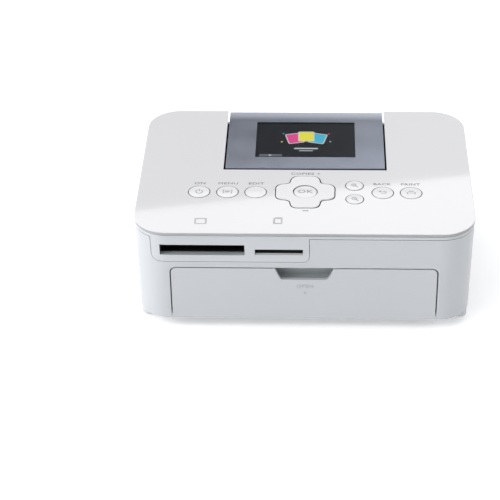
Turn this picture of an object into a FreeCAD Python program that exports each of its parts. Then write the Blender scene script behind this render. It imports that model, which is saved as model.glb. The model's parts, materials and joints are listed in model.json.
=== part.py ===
import FreeCAD, Part
import os
import math

# Compact photo printer. Millimetres. Origin: centre of the footprint, on the table.
# +X to the right, -Y to the front, +Z up.

V = FreeCAD.Vector

# ---------------------------------------------------------------- driving dimensions
W = 178.0            # overall width, X
D = 127.0            # overall depth, Y
H = 60.5             # top of the keys
Z_TOP = 60.2         # top face of the glossy plate
T_PLATE = 1.5        # plate thickness
Z_DECK = Z_TOP - T_PLATE          # underside of the plate, top of the deck
Z_DECK_LO = 56.8     # underside of the deck
Z_SEAM = 56.4        # top edge of the side walls
SEAM = 0.25          # width of the seams between shells
R_PLAN = 18.0        # corner radius in plan
Z_CASE = 5.2         # bottom edge of the side walls
WALL = 2.0           # wall thickness
Z_FLANGE = 6.8       # top of the inward flange at the bottom of the side walls
FOOT_H = 1.7
Z_BASE = 1.2         # underside of the base

DOOR_X = 69.4        # half width of the front door
DOOR_TOP = 37.9
DOOR_GAP = 0.7
DOOR_AX_Y, DOOR_AX_Z = -60.5, 7.3

INK_Y0, INK_Y1 = -9.0, 44.8       # door in the right wall
INK_Z0, INK_Z1 = 12.0, 46.0
INK_AX_X, INK_AX_Z = 86.3, 14.0
PIN_R = 1.2
RUN = 0.05           # radial running clearance

SCR_X = 43.3         # half width of the screen panel
SCR_Y0 = 1.1
SCR_GAP = 1.0
SCR_AX_Y, SCR_AX_Z = 5.0, 55.5

KEY_R = 5.55
KEY_GAP = 0.45
KEYS = {"power_key": (-56.1, -23.6, KEY_R), "menu_key": (-41.0, -23.6, KEY_R),
        "edit_key": (-26.0, -23.6, KEY_R), "back_key": (41.5, -23.6, KEY_R),
        "print_key": (56.5, -23.6, KEY_R), "zoom_in_key": (26.6, -16.7, 4.55),
        "zoom_out_key": (26.6, -30.1, 4.55)}
PAD_C = (0.4, -23.3)
PAD_L = 31.0         # overall size of the cross
PAD_ARM = 15.4       # width of an arm at its root
PAD_TIP = 10.6       # flat at an arm's tip
OK_R = 6.2

PATH_Z = 23.1        # height of the sheet's path
PLATEN = (19.0, 17.0, 6.0)        # y, z, radius
CAPSTAN = (-12.0, 19.5, 3.5)
PINCH = (-12.0, 27.2, 4.0)
PICKUP = (-24.2, 30.6, 7.2)
SPOOL_SUP = (2.0, 33.5)
SPOOL_TAKE = (36.0, 33.5)
SPOOL_R = 6.4
SIDE_X = 64.0        # middle of the side plates
HEAD_AX = (0.5, 44.8)
HEAD_Y = 20.5

MOD_A, MOD_B = 0.6, 0.5
N_ROLL, N_IDLE, N_BIG, N_PIN = 30, 22, 44, 14

OUT = {}


# ---------------------------------------------------------------- helpers
def box(x0, y0, z0, x1, y1, z1):
    return Part.makeBox(x1 - x0, y1 - y0, z1 - z0, V(x0, y0, z0))


def cyl(p, r, h, d=(0, 0, 1)):
    return Part.makeCylinder(r, h, V(*p), V(*d))


def cylx(y, z, r, x0, x1):
    return cyl((x0, y, z), r, x1 - x0, (1, 0, 0))


def cyly(x, z, r, y0, y1):
    return cyl((x, y0, z), r, y1 - y0, (0, 1, 0))


def rwire(hx, hy, r, z, cx=0.0, cy=0.0):
    a, b, k = hx - r, hy - r, math.sqrt(0.5)
    e = []

    def ln(p, q):
        e.append(Part.LineSegment(V(cx + p[0], cy + p[1], z), V(cx + q[0], cy + q[1], z)).toShape())

    def ar(p, m, q):
        e.append(Part.Arc(V(cx + p[0], cy + p[1], z), V(cx + m[0], cy + m[1], z),
                          V(cx + q[0], cy + q[1], z)).toShape())
    ln((-a, -hy), (a, -hy))
    ar((a, -hy), (a + r * k, -b - r * k), (hx, -b))
    ln((hx, -b), (hx, b))
    ar((hx, b), (a + r * k, b + r * k), (a, hy))
    ln((a, hy), (-a, hy))
    ar((-a, hy), (-a - r * k, b + r * k), (-hx, b))
    ln((-hx, b), (-hx, -b))
    ar((-hx, -b), (-a - r * k, -b - r * k), (-a, -hy))
    return Part.Wire(e)


def rprism(hx, hy, r, z0, z1, cx=0.0, cy=0.0):
    return Part.Face(rwire(hx, hy, r, z0, cx, cy)).extrude(V(0, 0, z1 - z0))


def rloft(a, b):
    return Part.makeLoft([rwire(*a), rwire(*b)], True, True)


def prism(pts, vec):
    w = Part.makePolygon([V(*p) for p in pts] + [V(*pts[0])])
    return Part.Face(w).extrude(V(*vec))


def xz(pts, y0, y1):
    return prism([(p[0], y0, p[1]) for p in pts], (0, y1 - y0, 0))


def yz(pts, x0, x1):
    return prism([(x0, p[0], p[1]) for p in pts], (x1 - x0, 0, 0))


def fuse(*s):
    r = s[0]
    if len(s) > 1:
        r = r.fuse(list(s[1:]))
    return r.removeSplitter()


def cut(s, *t):
    for q in t:
        s = s.cut(q)
    return s


def edges_at_z(s, z, tol=0.02):
    return [e for e in s.Edges if all(abs(v.Point.z - z) < tol for v in e.Vertexes)
            and abs(e.CenterOfMass.z - z) < tol]


def save(name, shape, want=1):
    n = len(shape.Solids)
    ok = shape.isValid()
    if n != want or not ok:
        print("CHECK", name, "solids", n, "valid", ok)
    OUT[name] = shape


def gear(cy, cz, n, m, th0, x0, x1, thin=0.06):
    # involute spur gear about an axis along X; th0 is the angle of one tooth's middle
    rp = m * n / 2.0
    pa = math.radians(20)
    rb = rp * math.cos(pa)
    ra = rp + 0.8 * m
    rr = rp - 1.1 * m
    inv = math.tan(pa) - pa
    half = math.pi / (2 * n) - thin / rp
    pts = []
    step = 2 * math.pi / n
    for k in range(n):
        c = th0 + k * step
        prof = []
        for i in range(6):
            r = max(rb, rr) + (ra - max(rb, rr)) * i / 5.0
            al = math.acos(min(1.0, rb / r))
            prof.append((r, half + inv - (math.tan(al) - al)))
        w0 = prof[0][1]
        lo = [(rr, w0)] if rr < rb else []
        right = [(r, -w) for r, w in lo + prof]
        left = [(r, w) for r, w in reversed(lo + prof)]
        for r, w in right + left:
            pts.append((cy + r * math.cos(c + w), cz + r * math.sin(c + w)))
    return yz(pts, x0, x1)


def mate(th_a, n_a, c_a, c_b, n_b):
    # tooth angle of gear b so that it meshes with gear a
    phi = math.atan2(c_b[1] - c_a[1], c_b[0] - c_a[0])
    sa, sb = 2 * math.pi / n_a, 2 * math.pi / n_b
    pa_ = ((phi - th_a) / sa) % 1.0
    pb_ = 0.5 - pa_
    return phi + math.pi - pb_ * sb


def cross_face(grow, z):
    # direction pad outline: a cross with rounded arms and hollow inner corners
    L = PAD_L / 2 + grow
    a = 7.9 + grow            # where an arm's side meets the hollow
    t = PAD_TIP / 2 + grow
    cx, cy = PAD_C
    q = []                     # right arm's upper half, then the hollow, in one quadrant
    import_pts = [(L, 0.0), (L, t - 1.4), (L - 0.75, t + 0.65), (L - 2.9, t + 2.1)]
    for x, y in import_pts:
        q.append((x, y))
    hx, hy = L - 2.9, t + 2.1  # start of the arm's side
    k = a + 1.1
    q.append((k + 1.6, a - 0.15))
    q.append((k - 0.45, k - 0.45))
    half = [(x, y) for x, y in q]
    mirror = [(y, x) for x, y in reversed(half[:-1])]
    quad = half + mirror[:-1]
    pts = []
    for r in range(4):
        c, s = [(1, 0), (0, 1), (-1, 0), (0, -1)][r]
        for x, y in quad:
            pts.append(V(cx + x * c - y * s, cy + x * s + y * c, z))
    b = Part.BSplineCurve()
    b.interpolate(pts, PeriodicFlag=True)
    return Part.Face(Part.Wire([b.toShape()]))


def cross(grow, z0, z1):
    return cross_face(grow, z0).extrude(V(0, 0, z1 - z0))


# ---------------------------------------------------------------- outer shells
HX, HY = W / 2, D / 2
S_TOP = (HX - 0.35, HY - 0.35, R_PLAN - 0.35, 58.3)
S_SEAM = (HX - 0.35, HY - 0.35, R_PLAN - 0.35, Z_SEAM + 0.4)
S_BOT = (HX - 1.1, HY - 1.1, R_PLAN - 1.1, Z_CASE)


def wall_solid(inset, z_lo=Z_CASE, z_hi=Z_SEAM + 0.4):
    a = (S_BOT[0] - inset, S_BOT[1] - inset, S_BOT[2] - inset, z_lo)
    b = (S_SEAM[0] - inset, S_SEAM[1] - inset, S_SEAM[2] - inset, z_hi)
    return rloft(a, b)


outer = wall_solid(0.0)
bot_edges = edges_at_z(outer, Z_CASE)
try:
    outer_r = outer.makeFillet(0.9, bot_edges)
except Exception:
    outer_r = outer
inner = wall_solid(WALL)
shell = outer_r.cut(inner)


def tongue_profile(g, top):
    # g grows the outline; arcs at the two lower corners
    def arc(c, r, a0, a1, n=6):
        return [(c[0] + r * math.cos(math.radians(a0 + (a1 - a0) * i / n)),
                 c[1] + r * math.sin(math.radians(a0 + (a1 - a0) * i / n))) for i in range(n + 1)]
    p = [(-79.9 - g, top)]
    p += arc((-75.1, 46.3), 4.1 + g, 185, 270)
    p += arc((-0.4, 45.4), 3.2 + g, 270, 360)
    p += [(2.8 + g, top)]
    return p


tongue_zone = xz(tongue_profile(0.0, 70.0), -70.0, -40.0)
tongue_zone_g = xz(tongue_profile(SEAM, 70.0), -70.0, -40.0)

# side walls with an inward flange at the bottom
flange = rprism(HX - 1.6, HY - 1.6, R_PLAN - 1.6, Z_CASE, Z_FLANGE).common(wall_solid(0.4))
flange = flange.cut(rprism(83.6, 56.3, 8.0, 4.0, 8.0, 0, 2.6))
casing = fuse(shell, flange)
casing = casing.cut(box(-95, -70, Z_SEAM, 95, 70, 60))
casing = cut(casing, tongue_zone_g)
# front door opening
def door_form(g, r, y0, y1):
    # front door's outline with rounded top corners, grown by g
    hx, zt, rr = DOOR_X + g, DOOR_TOP + g, r + g
    p = [(-hx, -2.0), (hx, -2.0)]
    for cx_, a0 in ((hx - rr, 0), (-hx + rr, 90)):
        p += [(cx_ + rr * math.cos(math.radians(a0 + 9 * i)), zt - rr + rr * math.sin(math.radians(a0 + 9 * i))) for i in range(11)]
    return xz(p, y0, y1)


casing = cut(casing, door_form(DOOR_GAP, 2.8, -70, -56.9))
# screen panel's clearance in the rear wall
casing = cut(casing, box(-SCR_X - SCR_GAP - 1.8, 55, 53.1, SCR_X + SCR_GAP + 1.8, 70, 60))
# ink door opening in the right wall
casing = cut(casing, box(80, INK_Y0 - 0.4, INK_Z0 - 0.3, 95, INK_Y1 + 0.4, INK_Z1 + 0.4))
# rear paper exit
casing = cut(casing, box(-53, 55, 20.0, 53, 70, 27.0))
# power jack opening and usb opening
casing = cut(casing, box(59.6, 55, 10.0, 69.4, 70, 20.4))
casing = cut(casing, box(-95, 34.0, 9.6, -80, 43.6, 17.4))
# vents: left wall beside the fan, rear wall
for i in range(9):
    y = -30.6 + i * 2.6
    casing = cut(casing, box(-95, y, 10.0, -80, y + 1.3, 31.0))
for i in range(8):
    x = -62.0 + i * 2.8 if i < 4 else 55.6 + (i - 4) * 2.8
    casing = cut(casing, box(x - 0.7, 55, 33.0, x + 0.7, 70, 47.0))
# bosses for the front door's pins
for s in (-1, 1):
    b = box(min(s * 71.0, s * 75.2), -61.9, Z_CASE + 0.4, max(s * 71.0, s * 75.2), -57.6, 10.2)
    casing = fuse(casing, b.common(outer_r))
    casing = cut(casing, cylx(DOOR_AX_Y, DOOR_AX_Z, PIN_R, min(s * 70.0, s * 74.4), max(s * 70.0, s * 74.4)))
# bosses for the ink door's pins
for y0, y1, q0, q1 in ((INK_Y0 - 5.0, INK_Y0 - 0.7, INK_Y0 - 4.2, INK_Y0), (INK_Y1 + 0.7, INK_Y1 + 5.0, INK_Y1, INK_Y1 + 3.4)):
    b = box(82.6, y0, INK_AX_Z - 3.0, 87.6, y1, INK_AX_Z + 3.0)
    casing = fuse(casing, b.common(outer_r))
    casing = cut(casing, cyly(INK_AX_X, INK_AX_Z, PIN_R, q0, q1))
# screw posts
SCREWS = [(-79.5, -40.0), (79.5, -40.0), (-76.5, 50.5), (76.5, 50.5), (-20.0, 57.4), (20.0, 57.4)]
for x, y in SCREWS:
    casing = fuse(casing, cyl((x, y, Z_CASE), 3.2, 8.6))
    if abs(x) > 40:
        rib = box(min(x, math.copysign(90, x)), y - 0.8, Z_CASE + 0.1, max(x, math.copysign(90, x)), y + 0.8, 12.0)
        casing = fuse(casing, rib.common(wall_solid(0.6)))
for x, y in SCREWS:
    casing = cut(casing, cyl((x, y, 3.0), 1.3, 9.4))
# the rear wall between the corners is a panel of its own
save("rear_panel", casing.common(box(-70.2, 50, 0, 70.2, 75, 60)))
casing = cut(casing, box(-70.4, 50, 0, 70.4, 75, 60))
save("side_casing", casing)

# base
def base_form(g, z0, z1):
    # square front corners, rear corners that follow the side walls
    a = rprism(87.0 - g, 58.0 - g, 4.0 - g * 0.6, z0, z1, 0, 4.0)
    b = rprism(87.2 - g, 62.2 - g, 16.8 - g, z0, z1).fuse(box(-95, -70, z0, 95, 0, z1))
    return a.common(b).removeSplitter()


base = base_form(0.0, Z_BASE, Z_CASE)
base = base.cut(base_form(2.0, Z_BASE + 2.0, Z_CASE + 1))
try:
    base = base.makeFillet(0.8, edges_at_z(base, Z_BASE))
except Exception as ex:
    print("base fillet", ex)
FEET = [(-69.5, -42.0), (69.5, -42.0), (-66.0, 49.0), (66.0, 49.0)]
for x, y in FEET:
    base = fuse(base, cyl((x, y, Z_BASE + 1.5), 7.0, 1.5))
    base = cut(base, cyl((x, y, 0), 5.6, FOOT_H))
for x, y in SCREWS:
    base = fuse(base, cyl((x, y, Z_BASE + 1.0), 3.4, Z_CASE - Z_BASE - 1.0))
    base = cut(base, cyl((x, y, 0), 1.3, 9.0), cyl((x, y, 0), 2.6, 3.0))
for i in range(7):
    x = -24.0 + i * 8.0
    base = cut(base, rprism(1.1, 9.0, 1.05, 0, 4.0, x, 22.0))
save("bottom_cover", base)

feet = None
for x, y in FEET:
    f = cyl((x, y, 0), 5.5, FOOT_H)
    f = f.makeFillet(0.6, edges_at_z(f, 0.0))
    feet = f if feet is None else feet.fuse(f)
save("rubber_feet", feet, 4)

scr = None
for x, y in SCREWS:
    s = cyl((x, y, 1.5), 2.4, 1.4).fuse(cyl((x, y, 2.5), 1.2, 9.0)).removeSplitter()
    s = s.cut(box(x - 1.6, y - 0.3, 1.0, x + 1.6, y + 0.3, 2.1)).cut(box(x - 0.3, y - 1.6, 1.0, x + 0.3, y + 1.6, 2.1))
    scr = s if scr is None else scr.fuse(s)
save("case_screws", scr, len(SCREWS))

# upper frame: skirt, deck and card-slot tongue
skirt = rprism(HX - 0.3, HY - 0.3, R_PLAN - 0.3, Z_SEAM + SEAM, 58.3).fuse(rprism(HX - 1.0, HY - 1.0, R_PLAN - 1.0, 58.2, Z_DECK))
hollow = rprism(HX - 2.4, HY - 2.4, R_PLAN - 2.4, 50.0, Z_DECK_LO)
frame = skirt.cut(hollow)
tongue = shell.cut(box(-95, -70, Z_SEAM + 0.39, 95, 70, 70)).common(tongue_zone)
frame = fuse(frame, tongue)
wx = SCR_X + SCR_GAP + 1.8
frame = cut(frame, box(-wx, -3.7, 50, wx, 70, 70))
frame = cut(frame, rprism(64.0, 18.4, 3.0, 50, 70, 0, -23.9))
# card slots
frame = fuse(frame, box(-74.3, -62.0, 45.1, -31.0, -59.6, 46.2))
frame = cut(frame, box(-74.7, -70, 46.2, -30.6, -58, 52.6))
frame = cut(frame, yz([(-66, 46.5), (-63.0, 46.5), (-60.4, 48.1), (-58, 48.1), (-58, 50.0), (-66, 50.0)], -25.3, -0.35))
save("upper_frame", frame)

# top plate
plate = rprism(HX, HY, R_PLAN, Z_DECK, Z_TOP)
plate = plate.makeFillet(0.35, edges_at_z(plate, Z_TOP))
plate = cut(plate, box(-SCR_X - SCR_GAP, -0.9, 50, SCR_X + SCR_GAP, 70, 70))
for n, (x, y, r) in KEYS.items():
    plate = cut(plate, cyl((x, y, 50), r + KEY_GAP, 20))
plate = cut(plate, cross(KEY_GAP + 0.05, 50, 70))
save("top_cover", plate)

# tray under the screen panel
wi = SCR_X + SCR_GAP
well = box(-wi - 1.6, -3.6, 49.2, wi + 1.6, 61.0, 58.6).cut(box(-wi, -2.0, 50.6, wi, 70, 70))
well = cut(well, box(-60, 54.0, 52.0, 60, 70, 70))
for s in (-1, 1):
    well = cut(well, cylx(SCR_AX_Y, SCR_AX_Z, PIN_R + RUN, min(s * 44, s * 47), max(s * 44, s * 47)))
save("screen_well", well)

# ---------------------------------------------------------------- screen panel
R_BEND = 78.0
top_prof = [(SCR_Y0, 57.2), (SCR_Y0, 59.8), (SCR_Y0 + 0.4, Z_TOP)]
top_prof += [(51.0 + i * 12.5 / 8, Z_TOP - (i * 12.5 / 8) ** 2 / (2 * R_BEND)) for i in range(9)]
top_prof += [(63.5, 57.2)]
bez = yz(top_prof, -SCR_X, SCR_X)
bez = cut(bez, box(-41.7, 2.7, 50, 41.7, 61.6, 58.75))
bez = cut(bez, box(-27.5, 12.6, 50, 27.5, 50.7, 70))
save("screen_bezel", bez)
save("screen_window", box(-27.4, 12.7, 59.25, 27.4, 50.6, 60.12))
mod = fuse(box(-31.5, 9.5, 55.4, 31.5, 53.8, 58.65), box(-27.2, 12.9, 58.6, 27.2, 50.4, 59.2))
save("display_module", mod)
back_prof = [(SCR_Y0, 54.6), (SCR_Y0 + 1.0, 53.6), (60.0, 53.6), (63.5, 55.4), (63.5, 57.15), (SCR_Y0, 57.15)]
back = yz(back_prof, -SCR_X, SCR_X)
back = cut(back, box(-41.7, 9.2, 55.2, 41.7, 61.0, 60), box(-35.5, 2.8, 55.2, 35.5, 20.0, 60))
for s in (-1, 1):
    back = cut(back, cylx(SCR_AX_Y, SCR_AX_Z, PIN_R, min(s * 38, s * 44), max(s * 38, s * 44)))
for s in (-1, 1):
    back = back.fuse(cylx(SCR_AX_Y, SCR_AX_Z, PIN_R, min(s * 37.8, s * 45.6), max(s * 37.8, s * 45.6)))
save("screen_back", back.removeSplitter())

# ---------------------------------------------------------------- keys
R_DOME = 60.0
for n, (x, y, r) in KEYS.items():
    dome = Part.makeSphere(R_DOME, V(x, y, H - R_DOME))
    k = cyl((x, y, 58.0), r, H - 58.0)
    k = k.makeFillet(0.35, edges_at_z(k, H))
    k = k.common(dome).fuse(cyl((x, y, 57.5), r + 1.1, 1.05)).fuse(cyl((x, y, 56.6), 2.0, 1.0)).removeSplitter()
    save(n, k)
cx, cy = PAD_C
ring_r = OK_R + 0.4
pad = cross(0.0, 57.2, H)
try:
    pad = pad.makeFillet(0.4, [e for e in edges_at_z(pad, H)])
except Exception as ex:
    print("pad fillet", ex)
pad = pad.fuse(cross(1.0, 56.9, 57.8)).removeSplitter()
pad = pad.cut(cyl((cx, cy, 50), ring_r, 20))
save("direction_pad", pad)
ok = cyl((cx, cy, 57.2), OK_R, H - 57.2)
ok = ok.makeFillet(0.35, edges_at_z(ok, H)).common(Part.makeSphere(R_DOME, V(cx, cy, H - R_DOME)))
ok = ok.fuse(cyl((cx, cy, 56.6), 2.0, 1.0)).removeSplitter()
save("ok_key", ok)
save("pad_rocker_ring", cyl((cx, cy, 55.6), 8.2, 0.7).cut(cyl((cx, cy, 55), 6.6, 2)))
mat = rprism(63.0, 16.4, 2.0, 55.15, 55.7, 0, -24.2)
mat = mat.cut(cyl((cx, cy, 50), 9.4, 20))
for n, (x, y, r) in KEYS.items():
    mat = mat.fuse(Part.makeCone(3.4, 2.4, 0.4, V(x, y, 55.6)))
mat = mat.removeSplitter()
mat = mat.fuse(Part.makeCone(3.2, 2.4, 0.85, V(cx, cy, 55.15)))
save("key_mat", mat, 2)
kb = rprism(63.0, 16.4, 1.0, 53.9, 55.1, 0, -24.2)
save("key_board", kb)

# ---------------------------------------------------------------- front door
door = shell.common(box(-DOOR_X, -70, 0, DOOR_X, -58, DOOR_TOP))
notch = xz([(x + 0.35, z) for x, z in ((-15.5, 45.0), (-15.5, DOOR_TOP), (-13.3, 32.9), (-12.4, 31.4), (-11.1, 30.9),
                                       (11.1, 30.9), (12.4, 31.4), (13.3, 32.9), (15.5, DOOR_TOP), (15.5, 45.0))], -70, -50)
door = cut(door, notch)
door = cut(door, box(-80, -58.9, 0, 80, -50, 50))
door = cut(door, box(-80, -70, 0, 80, -50, 7.0).cut(box(-80, -62.6, 5.0, 80, -60.35, 7.1)))
for s in (-1, 1):
    e = fuse(box(min(s * 66.2, s * DOOR_X), -61.9, 5.6, max(s * 66.2, s * DOOR_X), -58.8, 9.4))
    door = fuse(door, e)
for x in (-45.0, -22.0, 22.0, 45.0):
    door = fuse(door, box(x - 0.6, -61.6, 8.5, x + 0.6, -59.7, 30.0))
for s in (-1, 1):
    door = cut(door, cylx(DOOR_AX_Y, DOOR_AX_Z, PIN_R + RUN, min(s * 66, s * 71), max(s * 66, s * 71)))
door = door.common(door_form(0.0, 2.8, -70, -50))
save("cassette_door", door)
dp = None
for s in (-1, 1):
    p = cylx(DOOR_AX_Y, DOOR_AX_Z, PIN_R, min(s * 66.6, s * 74.4), max(s * 66.6, s * 74.4))
    dp = p if dp is None else dp.fuse(p)
dp = dp.fuse(cyly(INK_AX_X, INK_AX_Z, PIN_R, INK_Y0 - 4.2, INK_Y0 + 4.0))
dp = dp.fuse(cyly(INK_AX_X, INK_AX_Z, PIN_R, INK_Y1 - 4.0, INK_Y1 + 3.4))
save("door_hinge_pins", dp, 4)

# finger recess behind the notch, open to the front
cup = yz([(-59.9, 28.4), (-59.3, 27.6), (-54.4, 29.3), (-54.4, 41.6), (-60.3, 41.6), (-60.3, 39.2), (-56.0, 39.2), (-56.0, 30.4)], -17.2, 17.2)
for s in (-1, 1):
    e = yz([(-59.9, 28.4), (-59.3, 27.6), (-54.4, 29.3), (-54.4, 41.6), (-60.3, 41.6), (-60.3, 39.2), (-59.9, 39.2)],
           min(s * 16.0, s * 17.2), max(s * 16.0, s * 17.2))
    cup = fuse(cup, e)

# paper bay behind the door
bay = box(-61.2, -57.3, 6.9, 61.2, -19.0, 8.0)
bay = fuse(bay, box(-61.2, -57.3, 6.9, -60.0, -34.0, 28.0), box(60.0, -57.3, 6.9, 61.2, -34.0, 28.0))
bay = fuse(bay, box(-61.2, -57.3, 27.0 + 0.4, 61.2, -34.0, 28.6).cut(box(-18.0, -70, 20, 18.0, -53.9, 40)))
bay = fuse(bay, box(-74.0, -57.3, 8.0, -60.0, -56.1, 39.6), box(60.0, -57.3, 8.0, 74.0, -56.1, 39.6))
bay = fuse(bay, box(-61.2, -57.3, 28.0, -17.0, -56.1, 39.6), box(17.0, -57.3, 28.0, 61.2, -56.1, 39.6), cup)
save("paper_bay", bay)

# ---------------------------------------------------------------- card sockets and boards
wide = box(-76.0, -59.4, 45.0, -29.3, -26.0, 53.6).cut(box(-74.0, -66, 46.8, -31.3, -28.0, 52.2))
save("wide_card_socket", wide)
small = box(-27.2, -60.0, 45.9, 1.4, -32.0, 52.4).cut(box(-25.0, -66, 48.0, -0.8, -34.0, 50.6))
save("small_card_socket", small)
mb = box(-60.0, -53.0, 31.0, 60.0, -34.5, 32.4)
mb = fuse(mb, box(-30.0, -50.0, 32.4, -16.0, -38.0, 33.6), box(20.0, -48.0, 32.4, 31.0, -38.0, 33.8),
          box(-52.0, -46.0, 32.4, -40.0, -38.0, 35.4), cyl((42, -42, 32.4), 3.2, 5.0), cyl((50, -42, 32.4), 3.2, 5.0))
pb = box(-58.0, 47.5, 42.0, 58.0, 60.4, 43.4)
pb = fuse(pb, cyl((30, 53, 43.3), 3.4, 5.0), cyl((-30, 53, 43.3), 3.4, 5.0), box(-12.0, 49.0, 43.3, 8.0, 58.0, 47.5))
save("circuit_boards", mb.fuse(pb), 2)
jack = box(60.0, 51.0, 10.4, 69.0, 62.0, 20.0).cut(cyly(64.5, 15.2, 2.9, 52.0, 70)).fuse(cyly(64.5, 15.2, 0.8, 51.5, 60.0))
save("power_jack", jack.removeSplitter())
usb = box(-86.6, 34.6, 10.2, -74.0, 43.0, 16.8).cut(box(-90, 35.4, 11.0, -76.0, 42.2, 16.0)).fuse(box(-85.4, 37.0, 12.6, -75.5, 40.6, 14.2))
save("usb_socket", usb.removeSplitter())

# ---------------------------------------------------------------- side plates and paper path
left = box(-SIDE_X - 0.6, -30.0, 5.6, -SIDE_X + 0.6, 46.0, 47.6)
right = box(SIDE_X - 0.6, -30.0, 5.6, SIDE_X + 0.6, 46.0, 47.6)
left = cut(left, box(-70, -31, 43.6, -58, -25.0, 50))
right = cut(right, box(58, -31, 43.6, 70, -25.0, 50))
bores = [(PLATEN[0], PLATEN[1]), (CAPSTAN[0], CAPSTAN[1]), (PINCH[0], PINCH[1])]
BUSH_R, SHAFT_R = 2.6, 1.6
for y, z in bores:
    left = cut(left, cylx(y, z, BUSH_R, -70, -58))
    right = cut(right, cylx(y, z, BUSH_R, 58, 70))
left = cut(left, cylx(PICKUP[0], PICKUP[1], SHAFT_R + 0.04, -70, -58), cylx(SPOOL_TAKE[0], SPOOL_TAKE[1], 4.2, -70, -58),
           cylx(HEAD_AX[0], HEAD_AX[1], 1.2, -70, -58))
right = cut(right, cylx(PICKUP[0], PICKUP[1], SHAFT_R + 0.04, 58, 70),
            cylx(HEAD_AX[0], HEAD_AX[1], 1.2, 58, 70),
            box(60, -7.6, 23.6, 70, 50, 43.0), box(60, 30.0, 30, 70, 50, 50), box(60, -22, 33, 70, -12, 42))
left = cut(left, box(-70, -20, 36, -58, -10, 44))
IDLE = None
dyc, dzc = PLATEN[0] - CAPSTAN[0], PLATEN[1] - CAPSTAN[1]
dist = math.hypot(dyc, dzc)
cd = MOD_A * (N_ROLL + N_IDLE) / 2
off = math.sqrt(cd * cd - dist * dist / 4)
IDLE = ((PLATEN[0] + CAPSTAN[0]) / 2 - dzc / dist * off, (PLATEN[1] + CAPSTAN[1]) / 2 + dyc / dist * off)
MOTOR = (IDLE[0], IDLE[1] + MOD_B * (N_BIG + N_PIN) / 2)
print("idler", IDLE, "motor", MOTOR)
left = cut(left, cylx(MOTOR[0], MOTOR[1], 2.0, -70, -58))
left = fuse(left, cylx(IDLE[0], IDLE[1], 1.5, -75.4, -63.4), cylx(IDLE[0], IDLE[1], 2.6, -75.6, -74.8))
save("side_plate_left", left)
save("side_plate_right", right)

pg = box(-63.3, -31.0, 20.2, 63.3, 47.0, 21.8)
pg = cut(pg, box(-56.6, PLATEN[0] - 6.8, 15, 56.6, PLATEN[0] + 6.8, 25), box(-56.6, CAPSTAN[0] - 4.2, 15, 56.6, CAPSTAN[0] + 4.2, 25))
pg = cut(pg, box(-66, -34, 15, -18, -18, 25), box(18, -34, 15, 66, -18, 25))
pg = cut(pg, cylx(CAPSTAN[0], CAPSTAN[1], 3.4, -66, -56), cylx(CAPSTAN[0], CAPSTAN[1], 3.4, 56, 66))
pg = fuse(pg, box(-61.0, CAPSTAN[0] - 5.2, 21.4, -57.2, CAPSTAN[0] + 5.2, 22.8), box(57.2, CAPSTAN[0] - 5.2, 21.4, 61.0, CAPSTAN[0] + 5.2, 22.8))
pg = fuse(pg, box(-52.0, 46.5, 20.2, 52.0, 60.8, 21.0))
for x in (-54.0, 54.0):
    pg = fuse(pg, box(x - 0.5, 28.0, 21.7, x + 0.5, 46.0, 22.9))
save("paper_guide", pg)

bu = None
for y, z in bores:
    for s in (-1, 1):
        x0, x1 = (-65.4, -62.4) if s < 0 else (62.4, 65.4)
        b = cylx(y, z, BUSH_R, x0, x1).cut(cylx(y, z, SHAFT_R + 0.04, x0 - 1, x1 + 1))
        bu = b if bu is None else bu.fuse(b)
save("roller_bushes", bu, 6)

# platen, capstan, pinch and pick-up rollers
save("platen_shaft", cylx(PLATEN[0], PLATEN[1], SHAFT_R, -71.5, 66.5))
save("platen_roller", cylx(PLATEN[0], PLATEN[1], PLATEN[2], -54.0, 54.0).cut(cylx(PLATEN[0], PLATEN[1], SHAFT_R, -60, 60)))
cap = cylx(CAPSTAN[0], CAPSTAN[1], SHAFT_R, -71.5, 66.5).fuse(cylx(CAPSTAN[0], CAPSTAN[1], CAPSTAN[2], -54.0, 54.0)).removeSplitter()
save("capstan_roller", cap)
pin = cylx(PINCH[0], PINCH[1], SHAFT_R, -66.5, 66.5)
for x in (-44, -15, 15, 44):
    pin = pin.fuse(cylx(PINCH[0], PINCH[1], PINCH[2], x - 8, x + 8))
save("pinch_roller", pin.removeSplitter())
pr = cylx(PICKUP[0], PICKUP[1], SHAFT_R, -66.5, 66.5)
for x in (-10.0, 10.0):
    pr = pr.fuse(cylx(PICKUP[0], PICKUP[1], PICKUP[2], x - 5, x + 5))
save("pickup_roller", pr.removeSplitter())

# gears: the idler's small wheel meshes with platen and capstan gears, its big wheel with the pinion
th_i = 0.3
c_p, c_c = (PLATEN[0], PLATEN[1]), (CAPSTAN[0], CAPSTAN[1])
gp = gear(c_p[0], c_p[1], N_ROLL, MOD_A, mate(th_i, N_IDLE, IDLE, c_p, N_ROLL), -70.3, -67.3)
gc = gear(c_c[0], c_c[1], N_ROLL, MOD_A, mate(th_i, N_IDLE, IDLE, c_c, N_ROLL), -70.3, -67.3)
for g, c, nm in ((gp, c_p, "platen_gear"), (gc, c_c, "capstan_gear")):
    g = g.fuse(cylx(c[0], c[1], 3.2, -71.3, -66.6)).removeSplitter()
    for k in range(5):
        a = 2 * math.pi * k / 5 + 0.2
        g = g.cut(cylx(c[0] + 5.2 * math.cos(a), c[1] + 5.2 * math.sin(a), 1.25, -75, -60))
    save(nm, g.cut(cylx(c[0], c[1], SHAFT_R, -80, -60)))
gi = gear(IDLE[0], IDLE[1], N_IDLE, MOD_A, th_i, -70.5, -67.0)
gb = gear(IDLE[0], IDLE[1], N_BIG, MOD_B, 0.1, -73.8, -70.9)
gi = gi.fuse(cylx(IDLE[0], IDLE[1], 3.6, -74.4, -66.4)).fuse(gb).removeSplitter()
for k in range(6):
    a = 2 * math.pi * k / 6
    gi = gi.cut(cylx(IDLE[0] + 8.2 * math.cos(a), IDLE[1] + 8.2 * math.sin(a), 1.2, -75, -70.7))
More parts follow.
